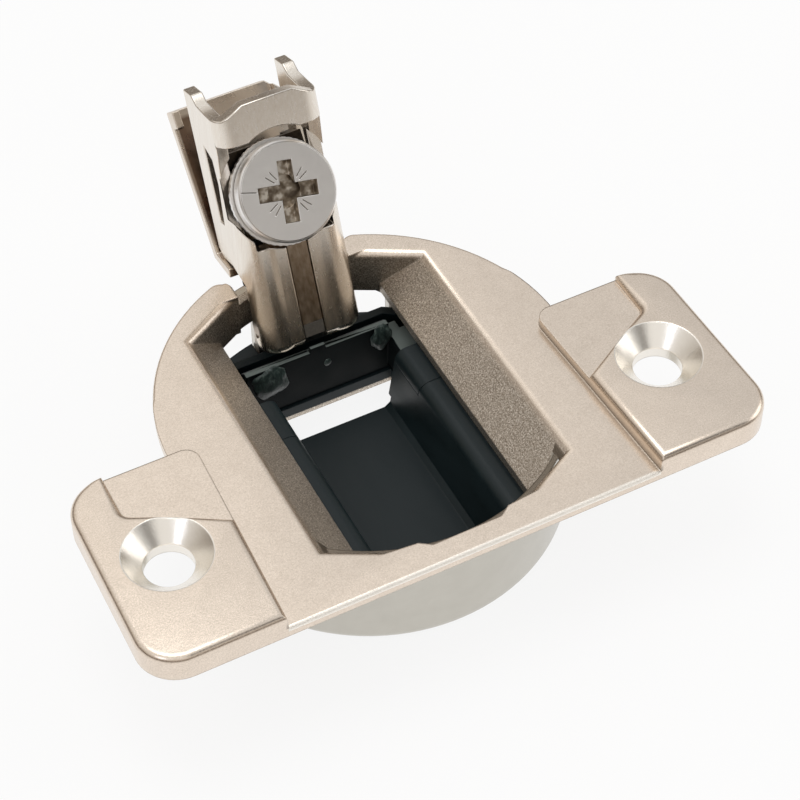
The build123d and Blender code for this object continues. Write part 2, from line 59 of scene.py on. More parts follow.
MM = 0.001
ARM_LEAN = math.radians(20)                 # of the arm, backwards
ARM_FOOT_Y, ARM_FOOT_Z = 9.9 * MM, -2.9 * MM
CAM_LEAN = math.radians(40)                 # of the screw's axis, downwards towards the back
CAM_FACE = (0.0, 14.46386 * MM, 11.18872 * MM)
SINK_X, SINK_Y, SINK_R = 22.5 * MM, -9.5 * MM, 3.75 * MM    # the countersinks, at both signs of x
CUP_SKIN_R = 16.5 * MM                      # further out, below the flange, is the cup's outside
FLANGE_Z, FRONT_Y = 1.0 * MM, -19.4 * MM    # top and front of the flange
PAD_TOP_Z, PAD_ROUND_Z = 2.6 * MM, 2.25 * MM                # top of a pad, and foot of its rounding
PAD_FROM_X = 15.5 * MM
PAD_TIGHT_X, PAD_TIGHT_Y = 24.05 * MM, 0.15 * MM            # corner at the back end of its panel

# The kinds of node that the finishes use most.
MATH, MIX, RANGE = "ShaderNodeMath", "ShaderNodeMix", "ShaderNodeMapRange"
RAMP, PRINCIPLED = "ShaderNodeValToRGB", "ShaderNodeBsdfPrincipled"
PLACE, SPLIT, OUTPUT = "ShaderNodeTexCoord", "ShaderNodeSeparateXYZ", "ShaderNodeOutputMaterial"


# ------------------------------------------------------------------ colours and nodes
def paint(code):
    """Linear colour of an sRGB hex value."""
    parts = [int(code[i:i + 2], 16) / 255 for i in (1, 3, 5)]
    return [p / 12.92 if p <= 0.04045 else ((p + 0.055) / 1.055) ** 2.4 for p in parts] + [1.0]


def add(tree, kind, sockets=None, stops=(), **settings):
    """Adds a node with its settings and links. A socket takes a constant, a hex colour, another
    node's output, or a node, which stands for the first of its outputs in use. Stops are the
    positions and hex colours of a colour ramp."""
    made = tree.nodes.new(kind)
    for name, value in settings.items():
        setattr(made, name, value)
    for name, value in (sockets or {}).items():
        if isinstance(value, bpy.types.Node):
            value = next(output for output in value.outputs if output.enabled)
        if isinstance(value, bpy.types.NodeSocket):
            tree.links.new(value, made.inputs[name])
        else:
            made.inputs[name].default_value = paint(value) if isinstance(value, str) else value
    if stops:
        while len(made.color_ramp.elements) < len(stops):
            made.color_ramp.elements.new(0.5)
        for element, (at, code) in zip(made.color_ramp.elements, stops):
            element.position = at
            element.color = paint(code)
    return made


def new_material(name):
    """A material with no nodes yet, and its tree."""
    material = bpy.data.materials.new(name)
    material.use_nodes = True
    material.node_tree.nodes.clear()
    return material, material.node_tree


def grain(tree, size, detail=2.0, stretch=(1, 1, 1), lean=0.0, roughness=0.5):
    """Uneven grain laid over the piece, its lumps as large as size in millimetres."""
    laid = add(tree, "ShaderNodeMapping", {"Vector": add(tree, PLACE).outputs["Object"],
                                           "Rotation": (lean, 0, 0),
                                           "Scale": [1 / (size * MM * s) for s in stretch]})
    return add(tree, "ShaderNodeTexNoise", {"Vector": laid, "Scale": 1.0, "Detail": detail,
                                            "Roughness": roughness})


def relief(tree, height, depth, edge=0.0):
    """Bumps of the given depth in millimetres, over edges eased by a radius in millimetres."""
    sockets = {"Height": height, "Strength": 1.0, "Distance": depth * MM}
    if edge:
        sockets["Normal"] = add(tree, "ShaderNodeBevel", {"Radius": edge * MM}, samples=6)
    return add(tree, "ShaderNodeBump", sockets)


def axes(tree, centre=(0, 0, 0), turn=(0, 0, 0)):
    """Places on the piece, read in a frame with its own centre and turn, as x, y and z."""
    local = add(tree, "ShaderNodeMapping", {"Vector": add(tree, PLACE).outputs["Object"],
                                            "Location": centre, "Rotation": turn},
                vector_type="TEXTURE")
    return add(tree, SPLIT, {"Vector": local}).outputs


def span(tree, a, b):
    """How far a place lies from the axis that these two of its coordinates are measured from."""
    squares = [add(tree, MATH, {0: part, 1: part}, operation="MULTIPLY") for part in (a, b)]
    total = add(tree, MATH, {0: squares[0], 1: squares[1]}, operation="ADD")
    return add(tree, MATH, {0: total}, operation="SQRT")


def inside(tree, value, low, high, soft):
    """1 between low and high, easing to 0 over soft on either side."""
    rise = add(tree, RANGE, {"Value": value, "From Min": low - soft, "From Max": low + soft})
    fall = add(tree, RANGE, {"Value": value, "From Min": high + soft, "From Max": high - soft})
    return add(tree, MATH, {0: rise, 1: fall}, operation="MULTIPLY")


def overlap(tree, *masks):
    """The part of the surface that all of the masks cover."""
    shared = masks[0]
    for mask in masks[1:]:
        shared = add(tree, MATH, {0: shared, 1: mask}, operation="MULTIPLY")
    return shared


# ------------------------------------------------------------------ finishes
def plated_zinc():
    """Zinc, pressure die cast, then plated with satin nickel in a barrel. Faces that the barrel
    rubs are smooth, pale and slightly cloudy. The throat of the cup keeps the sandy skin of the
    mould and looks darker. The cup's outside, drawn cleanly from the mould, is painted greyer as
    a painted reflection of the shaded floor, and the countersinks are painted palest as painted
    light."""
    material, tree = new_material("plated_zinc")
    x, y, z = axes(tree)
    aside = add(tree, MATH, {0: x}, operation="ABSOLUTE")
    reach = span(tree, x, y)
    past_skin = add(tree, MATH, {0: reach, 1: CUP_SKIN_R}, operation="GREATER_THAN")
    in_cup = add(tree, MATH, {0: reach, 1: CUP_SKIN_R}, operation="LESS_THAN")
    below = add(tree, MATH, {0: z, 1: -0.02 * MM}, operation="LESS_THAN")
    drawn = overlap(tree, below, past_skin)

    # The throat's nose reaches past the cup's skin, and there its ledge lies deep in shade, painted
    # darker as painted shade.
    nose = overlap(tree, add(tree, MATH, {0: aside, 1: 12 * MM}, operation="LESS_THAN"),
                   add(tree, MATH, {0: y, 1: -17.9 * MM}, operation="GREATER_THAN"),
                   add(tree, MATH, {0: z, 1: -0.01 * MM}, operation="GREATER_THAN"))
    ledge = overlap(tree, nose, past_skin,
                    add(tree, MATH, {0: z, 1: 0.5 * MM}, operation="LESS_THAN"))
    under_rim = add(tree, RANGE, {"Value": z, "From Min": 0.35 * MM, "From Max": 0.95 * MM,
                                  "To Min": 1.0, "To Max": 0.0})
    throat = overlap(tree, under_rim, add(tree, MATH, {0: nose, 1: in_cup}, operation="MAXIMUM"))

    # Painted light: the countersinks are painted paler than the plain zinc.
    sunk_x = add(tree, MATH, {0: aside, 1: SINK_X}, operation="SUBTRACT")
    sunk_y = add(tree, MATH, {0: y, 1: SINK_Y}, operation="SUBTRACT")
    countersinks_painted_pale = add(tree, MATH, {0: span(tree, sunk_x, sunk_y), 1: SINK_R}, operation="LESS_THAN")
    # Painted shade darkens the foot of each pad's step, and a painted highlight brightens the
    # flange's front rim.
    foot = overlap(tree, add(tree, RANGE, {"Value": z, "From Min": 1.2 * MM, "From Max": 1.89 * MM,
                                           "To Min": 1.0, "To Max": 0.0}),
                   add(tree, MATH, {0: z, 1: 1.01 * MM}, operation="GREATER_THAN"),
                   inside(tree, aside, PAD_FROM_X, 16.95 * MM, 0.1 * MM))
    painted_light = overlap(tree, inside(tree, z, 0.62 * MM, 0.99 * MM, 0.03 * MM),
                   add(tree, MATH, {0: y, 1: -19.08 * MM}, operation="LESS_THAN"),
                   add(tree, MATH, {0: aside, 1: 16.8 * MM}, operation="LESS_THAN"))

    # Sand of the mould, ripples of the cast skin, and clouds left by the barrel.
    sand = grain(tree, 0.13, 3.0, roughness=0.65)
    ripple = grain(tree, 0.45)
    cloud = grain(tree, 1.6, 4.0, roughness=0.6)

    cloudy = add(tree, RANGE, {"Value": cloud, "From Min": 0.35, "From Max": 0.65})
    speck = add(tree, RANGE, {"Value": sand, "From Min": 0.30, "From Max": 0.70})
    smooth = add(tree, MIX, {0: cloudy, 6: "#F2E4D5", 7: "#EDDFD0"}, data_type="RGBA")
    specks = add(tree, MIX, {0: speck, 6: "#E8E6E4", 7: "#FFFFFF"}, data_type="RGBA")
    smooth = add(tree, MIX, {0: 1.0, 6: smooth, 7: specks}, data_type="RGBA",
                 blend_type="MULTIPLY")
    # Painted reflection: the cup's outside is painted greyer, like the shaded floor that it faces.
    grey = add(tree, MIX, {0: cloud, 6: "#C9C5BC", 7: "#BFBBB2"}, data_type="RGBA")
    # Painted tones over the plain zinc: reflection on the outside, light on the countersinks, shade
    # at the steps' foot, highlight on the rim.
    for mask, tone in ((drawn, grey), (countersinks_painted_pale, "#F6F1E9"), (foot, "#A2988D"), (painted_light, "#FFFBF4")):
        smooth = add(tree, MIX, {0: mask, 6: smooth, 7: tone}, data_type="RGBA")
    skin = add(tree, RAMP, {"Fac": sand},
               stops=((0.30, "#8A7F71"), (0.50, "#C0B5A8"), (0.66, "#F2EBE1")))
    skin = add(tree, MIX, {0: ledge, 6: skin, 7: "#7A7064"}, data_type="RGBA")

    fine = add(tree, MATH, {0: sand, 1: 0.16}, operation="MULTIPLY")
    broad = add(tree, MATH, {0: ripple, 1: 0.20}, operation="MULTIPLY")
    flatter = add(tree, RANGE, {"Value": drawn, "To Min": 1.0, "To Max": 0.1})
    rubbed = add(tree, MATH, {0: fine, 1: broad}, operation="ADD")
    rubbed = add(tree, MATH, {0: rubbed, 1: flatter}, operation="MULTIPLY")
    height = add(tree, MIX, {0: throat, 2: rubbed, 3: sand})

    rough = add(tree, RANGE, {"Value": throat, "To Min": 0.24, "To Max": 0.46})
    rim_rough = add(tree, MATH, {0: painted_light, 1: 0.62}, operation="MULTIPLY")
    rough = add(tree, MATH, {0: rough, 1: rim_rough}, operation="MAXIMUM")
    rough = add(tree, MATH, {0: countersinks_painted_pale, 1: 0.03, 2: rough}, operation="MULTIPLY_ADD")
    colour = add(tree, MIX, {0: throat, 6: smooth, 7: skin}, data_type="RGBA")
    shader = add(tree, PRINCIPLED, {"Base Color": colour, "Metallic": 1.0, "Roughness": rough,
                                    "Normal": relief(tree, height, 0.030, edge=0.20)})
    add(tree, OUTPUT, {"Surface": shader})
    return material


def plated_steel():
    """Steel strip, stamped and rolled, then plated with bright nickel: long fine draw marks run
    up the arm, and it is painted a little browner towards the foot as a painted reflection of the
    dark cup it stands in. The marks are finer in such steel, and are drawn 0.22 mm wide so that
    they show."""
    material, tree = new_material("plated_steel")
    draw = grain(tree, 0.22, 3.0, stretch=(1, 1, 40), lean=-ARM_LEAN)
    cloud = grain(tree, 2.0, stretch=(1, 1, 3), lean=-ARM_LEAN)
    # Painted reflection: browner and cloudier towards the foot, set by height.
    low = add(tree, RANGE, {"Value": axes(tree)["Z"], "From Min": -4 * MM, "From Max": 5 * MM,
                            "To Min": 1.0, "To Max": 0.0})
    bright = add(tree, RAMP, {"Fac": draw},
                 stops=((0.25, "#E3DACF"), (0.55, "#E9E2D8"), (0.8, "#F0EAE2")))
    brown = add(tree, RAMP, {"Fac": cloud},
                stops=((0.3, "#D2C1AB"), (0.6, "#E8DCCB"), (0.8, "#F2EADF")))
    colour = add(tree, MIX, {0: low, 6: bright, 7: brown}, data_type="RGBA")
    rough = add(tree, RANGE, {"Value": draw, "From Min": 0.3, "From Max": 0.7,
                              "To Min": 0.22, "To Max": 0.28})
    shader = add(tree, PRINCIPLED, {"Base Color": colour, "Metallic": 1.0, "Roughness": rough,
                                    "Normal": relief(tree, draw, 0.0012)})
    add(tree, OUTPUT, {"Surface": shader})
    return material


def clamp_steel():
    """Steel strip of the clamp plate, tumbled and then plated bright, so that no draw marks are
    left. The face turned to the arm is painted brown inside a pale border, as painted shade and a
    painted reflection of the dark gap beside the arm wall."""
    material, tree = new_material("clamp_steel")
    peel = grain(tree, 0.5)
    cloud = grain(tree, 2.5, 3.0)
    x, _, z = axes(tree)
    facing = add(tree, SPLIT, {"Vector": add(tree, PLACE).outputs["Normal"]}).outputs["Y"]
    # Painted shade: the face turned to the arm, inside its border and below its top, is painted
    # brown.
    painted_shade_face = overlap(tree, add(tree, MATH, {0: facing, 1: -0.7}, operation="LESS_THAN"),
                    inside(tree, x, -4.75 * MM, -2.3 * MM, 0.06 * MM),
                    add(tree, RANGE, {"Value": z, "From Min": 10.9 * MM, "From Max": 11.2 * MM,
                                      "To Min": 1.0, "To Max": 0.0}))
    pale = add(tree, MIX, {0: cloud, 6: "#E9DFD3", 7: "#D6C9BA"}, data_type="RGBA")
    brown = add(tree, RAMP, {"Fac": cloud}, stops=((0.35, "#6A5145"), (0.65, "#9A8674")))
    colour = add(tree, MIX, {0: painted_shade_face, 6: pale, 7: brown}, data_type="RGBA")
    rough = add(tree, RANGE, {"Value": cloud, "From Min": 0.3, "From Max": 0.7,
                              "To Min": 0.22, "To Max": 0.34})
    shader = add(tree, PRINCIPLED, {"Base Color": colour, "Metallic": 1.0, "Roughness": rough,
                                    "Normal": relief(tree, peel, 0.004)})
    add(tree, OUTPUT, {"Surface": shader})
    return material


def screw_steel():
    """Steel screw, upset cold and turned, then zinc plated and passivated: a dull warm grey. Its
    face has pairs of thin ticks between the arms of the recess and a line that shows its setting.
    A fine dark ring near the rim is painted shade along the head's edge, and the recess is
    painted darker and browner where it is deep, as painted shade."""
    material, tree = new_material("screw_steel")
    fine = grain(tree, 0.3, 3.0)
    cloud = grain(tree, 1.8, 3.0)
    across, deep, up = axes(tree, CAM_FACE, (-CAM_LEAN, 0, 0))
    reach = span(tree, across, up)

    cuts = []
    recess_turn = 9.7
    for angle in (38, 52, 128, 142):
        turn = math.radians(angle - recess_turn)
        along = add(tree, MATH, {0: up, 1: math.sin(turn)}, operation="MULTIPLY")
        along = add(tree, MATH, {0: across, 1: math.cos(turn), 2: along}, operation="MULTIPLY_ADD")
        along = add(tree, MATH, {0: along}, operation="ABSOLUTE")
        beside = add(tree, MATH, {0: up, 1: math.cos(turn)}, operation="MULTIPLY")
        beside = add(tree, MATH, {0: across, 1: -math.sin(turn), 2: beside},
                     operation="MULTIPLY_ADD")
        cuts.append(overlap(tree, inside(tree, beside, -0.04 * MM, 0.04 * MM, 0.02 * MM),
                            inside(tree, along, 1.4 * MM, 2.35 * MM, 0.05 * MM)))
    setting_slope, rim_shade_strength = 0.31, 0.6
    setting = add(tree, MATH, {0: across, 1: setting_slope, 2: up}, operation="MULTIPLY_ADD")
    cuts.append(overlap(tree, inside(tree, setting, -0.09 * MM, -0.01 * MM, 0.03 * MM),
                        inside(tree, across, -4.3 * MM, -2.7 * MM, 0.05 * MM)))
    # Painted shade: a dark ring along the head's edge.
    cuts.append(overlap(tree, inside(tree, reach, 4.16 * MM, 4.26 * MM, 0.03 * MM), rim_shade_strength))
    marks = cuts[0]
    for cut in cuts[1:]:
        marks = add(tree, MATH, {0: marks, 1: cut}, operation="MAXIMUM")
    marks = overlap(tree, marks, inside(tree, deep, -0.1 * MM, 0.05 * MM, 0.02 * MM))
    sinking = add(tree, RANGE, {"Value": deep, "From Min": 0.02 * MM, "From Max": 0.25 * MM})
    recess = overlap(tree, sinking,
                     add(tree, MATH, {0: reach, 1: 2.8 * MM}, operation="LESS_THAN"))

    colour = add(tree, MIX, {0: cloud, 6: "#F0EEEB", 7: "#E6E3E0"}, data_type="RGBA")
    # Painted shade: this ramp darkens the recess to brown where it is deep.
    oiled = add(tree, RAMP, {"Fac": grain(tree, 0.9)},
                stops=((0.40, "#6E6254"), (0.52, "#A39787"), (0.60, "#DDD5C9")))
    colour = add(tree, MIX, {0: recess, 6: colour, 7: oiled}, data_type="RGBA")
    colour = add(tree, MIX, {0: marks, 6: colour, 7: "#6B655D"}, data_type="RGBA")
    turned = add(tree, MATH, {0: fine, 1: 0.1}, operation="MULTIPLY")
    height = add(tree, MATH, {0: turned, 1: marks}, operation="SUBTRACT")
    rough = add(tree, RANGE, {"Value": fine, "From Min": 0.3, "From Max": 0.7,
                              "To Min": 0.30, "To Max": 0.38})
    shader = add(tree, PRINCIPLED, {"Base Color": colour, "Metallic": 1.0, "Roughness": rough,
                                    "Normal": relief(tree, height, 0.04)})
    add(tree, OUTPUT, {"Surface": shader})
    return material


def inner_steel():
    """Cold-rolled steel inside the arm, thinly plated and browned by its oil, with rolling marks
    along it. Higher up, behind the screw, it is painted almost black as painted shade."""
    material, tree = new_material("inner_steel")
    draw = grain(tree, 0.3, 3.0, stretch=(1, 1, 12), lean=-ARM_LEAN)
    # Painted shade: almost black above the level of the screw.
    high = add(tree, RANGE, {"Value": axes(tree)["Z"], "From Min": 6.5 * MM, "From Max": 8.0 * MM})
    plated = add(tree, RAMP, {"Fac": draw}, stops=((0.3, "#93826F"), (0.7, "#B8A794")))
    painted_shade_dark = add(tree, RAMP, {"Fac": draw}, stops=((0.3, "#241F1A"), (0.7, "#3A322A")))
    colour = add(tree, MIX, {0: high, 6: plated, 7: painted_shade_dark}, data_type="RGBA")
    rough = add(tree, RANGE, {"Value": draw, "From Min": 0.3, "From Max": 0.7,
                              "To Min": 0.28, "To Max": 0.40})
    shader = add(tree, PRINCIPLED, {"Base Color": colour, "Metallic": 1.0, "Roughness": rough,
                                    "Normal": relief(tree, draw, 0.004)})
    add(tree, OUTPUT, {"Surface": shader})
    return material


def spring_steel():
    """Spring steel, drawn to wire and oiled: dark grey, a little uneven where the oil lies."""
    material, tree = new_material("spring_steel")
    oil = grain(tree, 0.3)
    colour = add(tree, RAMP, {"Fac": oil}, stops=((0.3, "#77716A"), (0.7, "#96908A")))
    rough = add(tree, RANGE, {"Value": oil, "From Min": 0.3, "From Max": 0.7,
                              "To Min": 0.28, "To Max": 0.4})
    shader = add(tree, PRINCIPLED, {"Base Color": colour, "Metallic": 1.0, "Roughness": rough})
    add(tree, OUTPUT, {"Surface": shader})
    return material


def black_acetal(name, dark, light, smoothest, roughest, gloss, painted_light):
    """Acetal, injection moulded in black from a spark-eroded mould: a soft dull sheen, and the
    faint streaks in which it ran into the mould. Its upward faces are painted another tone as
    painted light.
    The sparks' texture is finer in such a mould, and is drawn 0.12 mm wide so that it shows."""
    material, tree = new_material(name)
    spark = grain(tree, 0.12, 3.0)
    flow = grain(tree, 2.6, 3.0, stretch=(1, 3, 1))
    streak = add(tree, RANGE, {"Value": flow, "From Min": 0.3, "From Max": 0.7})
    # Painted light: upward faces get a tone of their own, much lighter on the slider.
    facing = add(tree, SPLIT, {"Vector": add(tree, PLACE).outputs["Normal"]}).outputs["Z"]
    painted_lit_tops = add(tree, RANGE, {"Value": facing, "From Min": 0.70, "From Max": 0.95})
    colour = add(tree, MIX, {0: streak, 6: dark, 7: light}, data_type="RGBA")
    colour = add(tree, MIX, {0: painted_lit_tops, 6: colour, 7: painted_light}, data_type="RGBA")
    rough = add(tree, RANGE, {"Value": flow, "From Min": 0.3, "From Max": 0.7,
                              "To Min": smoothest, "To Max": roughest})
    shader = add(tree, PRINCIPLED, {"Base Color": colour, "IOR": 1.48, "Specular IOR Level": gloss,
                                    "Roughness": rough,
                                    "Normal": relief(tree, spark, 0.006, edge=0.12)})
    add(tree, OUTPUT, {"Surface": shader})
    return material


def grey_acetal():
    """Acetal of the shoe that rubs on the slider, injection moulded in grey: dull, with the fine
    texture of a spark-eroded mould."""
    material, tree = new_material("grey_acetal")
    spark = grain(tree, 0.15)
    colour = add(tree, RAMP, {"Fac": spark}, stops=((0.3, "#4A4742"), (0.7, "#5B5750")))
    shader = add(tree, PRINCIPLED, {"Base Color": colour, "IOR": 1.48, "Roughness": 0.4,
                                    "Normal": relief(tree, spark, 0.005, edge=0.08)})
    add(tree, OUTPUT, {"Surface": shader})
    return material


def lubricating_grease():
    """Grease, pushed off the slider by its travel: cloudy grey-green, with a wet gloss broken by
    the ridges it was drawn into."""
    material, tree = new_material("grease")
    ridges = grain(tree, 0.35, 4.0, stretch=(1, 1, 2.5), roughness=0.7)
    colour = add(tree, RAMP, {"Fac": ridges},
                 stops=((0.35, "#1C2625"), (0.55, "#34413E"), (0.70, "#64716D")))
    shader = add(tree, PRINCIPLED, {"Base Color": colour, "IOR": 1.46, "Roughness": 0.30,
                                    "Normal": relief(tree, ridges, 0.05)})
    add(tree, OUTPUT, {"Surface": shader})
    return material


ZINC = plated_zinc()
ARM_STEEL = plated_steel()
CLAMP_STEEL = clamp_steel()
SCREW_STEEL = screw_steel()
INNER_STEEL = inner_steel()
SPRING_STEEL = spring_steel()
# The last colour of each is the tone painted on upward faces as painted light.
LINER_BLACK = black_acetal("liner_black", "#101A1C", "#1D292C", 0.34, 0.48, 0.30, "#182225")
SLIDER_BLACK = black_acetal("slider_black", "#080E0F", "#101718", 0.45, 0.60, 0.12, "#6B7370")
GREY_ACETAL = grey_acetal()
GREASE = lubricating_grease()

# ------------------------------------------------------------------ dressing the pieces
BODY_OF = {node: body for body, members in frame["record"]["behaviour"]["bodies"].items()
           for node in members}
FINISH_OF = {"cup_housing": ZINC, "arm": ARM_STEEL, "clamp_plate": CLAMP_STEEL,
             "cam_screw": SCREW_STEEL, "inner_link": INNER_STEEL, "pivot_pin": INNER_STEEL,
             "spring_guide_left": INNER_STEEL, "spring_guide_right": INNER_STEEL,
             "cam_ring": INNER_STEEL, "closing_spring_left": SPRING_STEEL,
             "closing_spring_right": SPRING_STEEL, "cam_washer": SPRING_STEEL,
             "liner": LINER_BLACK, "spring_cover_left": LINER_BLACK,
             "spring_cover_right": LINER_BLACK, "slider": SLIDER_BLACK, "link_shoe": GREY_ACETAL}
for node, finish in FINISH_OF.items():
    nodes[node].data.materials.clear()
    nodes[node].data.materials.append(finish)


def rounded(name, radius, steps=3, reshape=None, part=None, takes=None):
    """A copy of a node with its crisp edges rounded by a radius in millimetres, standing for it.
    Reshape changes the copy first, and part once its flat faces are joined. Takes says which
    edges are rounded: all of them where it is left out. Faces too narrow for it stay sharp."""
    crisp, shortest = math.radians(35), 0.15 * MM
    work = bmesh.new()
    work.from_mesh(nodes[name].data)
    bmesh.ops.remove_doubles(work, verts=work.verts, dist=0.002 * MM)
    if reshape:
        reshape(work)
    bmesh.ops.dissolve_limit(work, angle_limit=math.radians(0.5), verts=work.verts,
                             edges=work.edges)
    if part:
        part(work)
    weights = work.edges.layers.float.new("bevel_weight_edge")
    for edge in work.edges:
        length = edge.calc_length()
        if len(edge.link_faces) != 2 or edge.calc_face_angle() <= crisp or length <= shortest:
            continue
        room = min(face.calc_area() for face in edge.link_faces) / length
        edge[weights] = float(room > 1.5 * radius * MM and (takes is None or takes(edge)))
    mesh = bpy.data.meshes.new(name + "_rounded")
    work.to_mesh(mesh)
    work.free()
    if "custom_normal" in mesh.attributes:
        mesh.attributes.remove(mesh.attributes["custom_normal"])
    mesh.materials.append(FINISH_OF[name])
    mesh.shade_smooth()
    mesh.set_sharp_from_angle(angle=crisp)
    piece = bpy.data.objects.new(mesh.name, mesh)
    bpy.context.collection.objects.link(piece)
    bevel = piece.modifiers.new("edges", "BEVEL")
    bevel.width = radius * MM
    bevel.segments = steps
    bevel.limit_method = "WEIGHT"
    bevel.use_clamp_overlap = False
    bevel.harden_normals = True
    settled = piece.evaluated_get(bpy.context.evaluated_depsgraph_get())
    shape = bpy.data.meshes.new_from_object(settled)
    piece.modifiers.clear()
    piece.data = shape
    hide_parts(name)
    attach(piece, BODY_OF[name])


def foot_on(outline, spot):
    """The point of a pad's outline that a point of its rounding belongs to: the nearest, or the
    corner of two sides that it is as near to. None if it lies further in than the rounding."""
    rounding_span, as_near, same_point = 0.40 * MM, 0.02 * MM, 0.004 * MM
    sides = []
    for a, b in outline:
        share = min(1.0, max(0.0, (spot - a).dot(b - a) / (b - a).length_squared))
        point = a + share * (b - a)
        sides.append(((spot - point).length, point, (b - a).normalized(), (a, b)))
    sides.sort(key=lambda side: side[0])
    distance, foot, way, ends = sides[0]
    if distance > rounding_span:
        return None
    for other, _, other_way, other_ends in sides[1:]:
        if other - distance > as_near:
            break
        corner = [p for p in ends if any((p - q).length < same_point for q in other_ends)]
        if corner and abs(way.dot(other_way)) < 0.7:
            foot = corner[0]
    return foot


def fuller_pads(work):
    """Widens the narrow rounding round the top of each pad: every point of it moves away from the
    outline and down by the same factor, so that the tumbled edge catches the light. The factor
    fades to 1 at the tight corner by the panel's back end."""
    fuller, fade, slack = 1.85, 2 * MM, 0.003 * MM
    outline = [tuple(vert.co.xy for vert in edge.verts) for edge in work.edges
               if all(abs(vert.co.z - PAD_ROUND_Z) < slack and abs(vert.co.x) > PAD_FROM_X
                      for vert in edge.verts)]
    for vert in work.verts:
        x, y, z = vert.co
        by_hole = math.hypot(abs(x) - SINK_X, y - SINK_Y) < SINK_R + 0.1 * MM
        if z < PAD_ROUND_Z - slack or abs(x) < PAD_FROM_X or by_hole:
            continue
        spot = vert.co.xy
        foot = foot_on(outline, spot)
        if foot is None:
            continue
        tight = Vector((math.copysign(PAD_TIGHT_X, x), PAD_TIGHT_Y))
        away = min(1.0, (foot - tight).length / fade)
        factor = 1 + (fuller - 1) * away * away * (3 - 2 * away)
        moved = foot + (spot - foot) * factor
        vert.co = (moved.x, moved.y, PAD_TOP_Z - (PAD_TOP_Z - z) * factor)


def part_the_rim(work):
    """Splits the faces either side of the flange's front rim just short of the pads, so that the
    rounding of the rim ends there and does not have to climb the pads' ends."""
    at_front = [edge for edge in work.edges
                if all(vert.co.y < FRONT_Y + 0.1 * MM for vert in edge.verts)
                and abs(sum(vert.co.z for vert in edge.verts) / 2 - FLANGE_Z) < 0.02 * MM]
    faces = list(max(at_front, key=lambda edge: edge.calc_length()).link_faces)
    for x in (-16.5 * MM, 16.5 * MM):
        edges = {edge for face in faces for edge in face.edges}
        verts = {vert for face in faces for vert in face.verts}
        cut = bmesh.ops.bisect_plane(work, geom=[*verts, *edges, *faces], dist=1e-7,
                                     plane_co=(x, 0, 0), plane_no=(1, 0, 0))
        faces = [made for made in cut["geom"] if isinstance(made, bmesh.types.BMFace)]


def on_flange_rim(edge):
    """Level edges of the flange: along its front between the pads, and round the cup's back."""
    (ax, ay, az), (bx, by, bz) = (vert.co / MM for vert in edge.verts)
    if abs(az - bz) > 0.01 or not 0.01 <= az < 2.2:
        return False
    widest = max(abs(ax), abs(bx))
    front = max(ay, by) < -18.6 and widest < 16.6
    back = min(ay, by) > 0 and widest < 17 and min(math.hypot(ax, ay), math.hypot(bx, by)) > 17.3
    return front or back


def roll_into_columns(work):
    """Lays the front of each arm wall on the column that is rolled from it, so that no seam
    shows. Along the arm is u, and b is towards its back."""
    centre_x, centre_b, column_r = 2.88 * MM, 1.88 * MM, 1.885 * MM
    for vert in work.verts:
        x, y, z = vert.co
        b = (y - ARM_FOOT_Y) * math.cos(ARM_LEAN) - (z - ARM_FOOT_Z) * math.sin(ARM_LEAN)
        u = (y - ARM_FOOT_Y) * math.sin(ARM_LEAN) + (z - ARM_FOOT_Z) * math.cos(ARM_LEAN)
        out = math.hypot(abs(x) - centre_x, b - centre_b)
        on_front = 6.3 * MM < u < 14.7 * MM and b < 1.75 * MM and abs(x) > 3.65 * MM
        if on_front and abs(out - column_r) < 0.2 * MM:
            x = math.copysign(centre_x + (abs(x) - centre_x) * column_r / out, x)
            b = centre_b + (b - centre_b) * column_r / out
            vert.co = (x, ARM_FOOT_Y + u * math.sin(ARM_LEAN) + b * math.cos(ARM_LEAN),
                       ARM_FOOT_Z + u * math.cos(ARM_LEAN) - b * math.sin(ARM_LEAN))
    bmesh.ops.remove_doubles(work, verts=work.verts, dist=0.02 * MM)


def off_far_window(edge):
    """All edges of the arm but those of the far wall's window, which are too thin to round."""
    return not any(vert.co.x > 3.0 * MM and 10.0 * MM < vert.co.z < 15.6 * MM
                   for vert in edge.verts)


def on_screw_head(edge):
    """The edges of the screw's head, not those of its shank and cam."""
    return all((vert.co.y - CAM_FACE[1]) * math.cos(CAM_LEAN)
               - (vert.co.z - CAM_FACE[2]) * math.sin(CAM_LEAN) < 1.6 * MM for vert in edge.verts)


rounded("cup_housing", 0.2975, steps=5, reshape=fuller_pads, part=part_the_rim,
        takes=on_flange_rim)
rounded("arm", 0.14, reshape=roll_into_columns, takes=off_far_window)
rounded("cam_screw", 0.05, takes=on_screw_head)
rounded("clamp_plate", 0.12)
rounded("inner_link", 0.05)
rounded("slider", 0.12)


